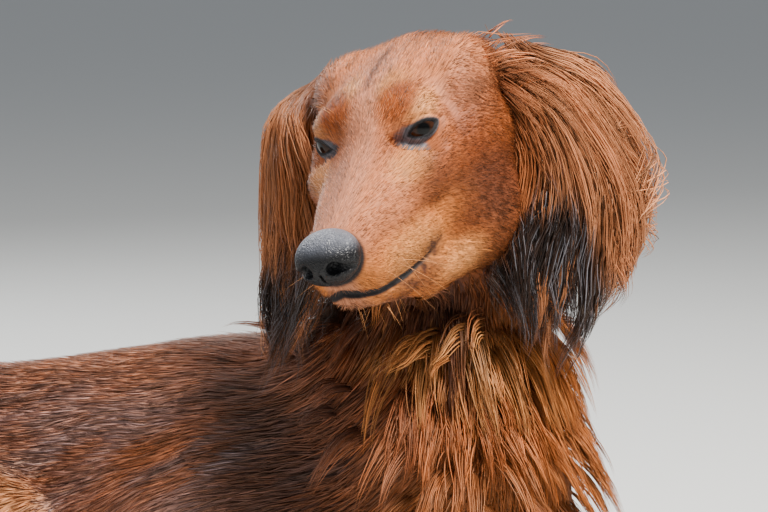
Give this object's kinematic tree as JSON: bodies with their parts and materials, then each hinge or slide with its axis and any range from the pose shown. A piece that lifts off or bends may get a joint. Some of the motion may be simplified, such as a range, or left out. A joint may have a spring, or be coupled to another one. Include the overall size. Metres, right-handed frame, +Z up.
{
  "type": "long-haired dachshund figure",
  "caption": "Life-size long-haired dachshund lying down with its head raised and turned to its right, as a rigid still model.",
  "frame": {"origin": "on the floor, at the middle of the figure's bounding box", "axes": "+X towards the chest and forepaws, +Y the dog's left, +Z up"},
  "size_m": [0.8146, 0.2888, 0.31],
  "materials": {
    "coat": "soft, silky hair in shaded red, with mahogany back",
    "ear_coat": "long silky hair, red-brown with black tips",
    "nose": "black, moist and pebbled",
    "eye": "dark brown, wet gloss",
    "claw": "black horn, satin"
  },
  "bodies": {
    "root": {"ear_left": "ear_coat", "ear_right": "ear_coat", "eye_left": "eye", "eye_right": "eye", "foreleg_left_claw_1": "claw", "foreleg_left_claw_2": "claw", "foreleg_left_claw_3": "claw", "foreleg_left_claw_4": "claw", "foreleg_left_forearm": "coat", "foreleg_left_paw": "coat", "foreleg_left_upper": "coat", "foreleg_right_claw_1": "claw", "foreleg_right_claw_2": "claw", "foreleg_right_claw_3": "claw", "foreleg_right_claw_4": "claw", "foreleg_right_forearm": "coat", "foreleg_right_paw": "coat", "foreleg_right_upper": "coat", "head": "coat", "hindleg_left_claw_1": "claw", "hindleg_left_claw_2": "claw", "hindleg_left_claw_3": "claw", "hindleg_left_claw_4": "claw", "hindleg_left_paw": "coat", "hindleg_left_shank": "coat", "hindleg_left_thigh": "coat", "hindleg_right_claw_1": "claw", "hindleg_right_claw_2": "claw", "hindleg_right_claw_3": "claw", "hindleg_right_claw_4": "claw", "hindleg_right_paw": "coat", "hindleg_right_shank": "coat", "hindleg_right_thigh": "coat", "neck": "coat", "nose": "nose", "tail_base": "coat", "tail_end": "coat", "torso": "coat"}
  },
  "joints": []
}
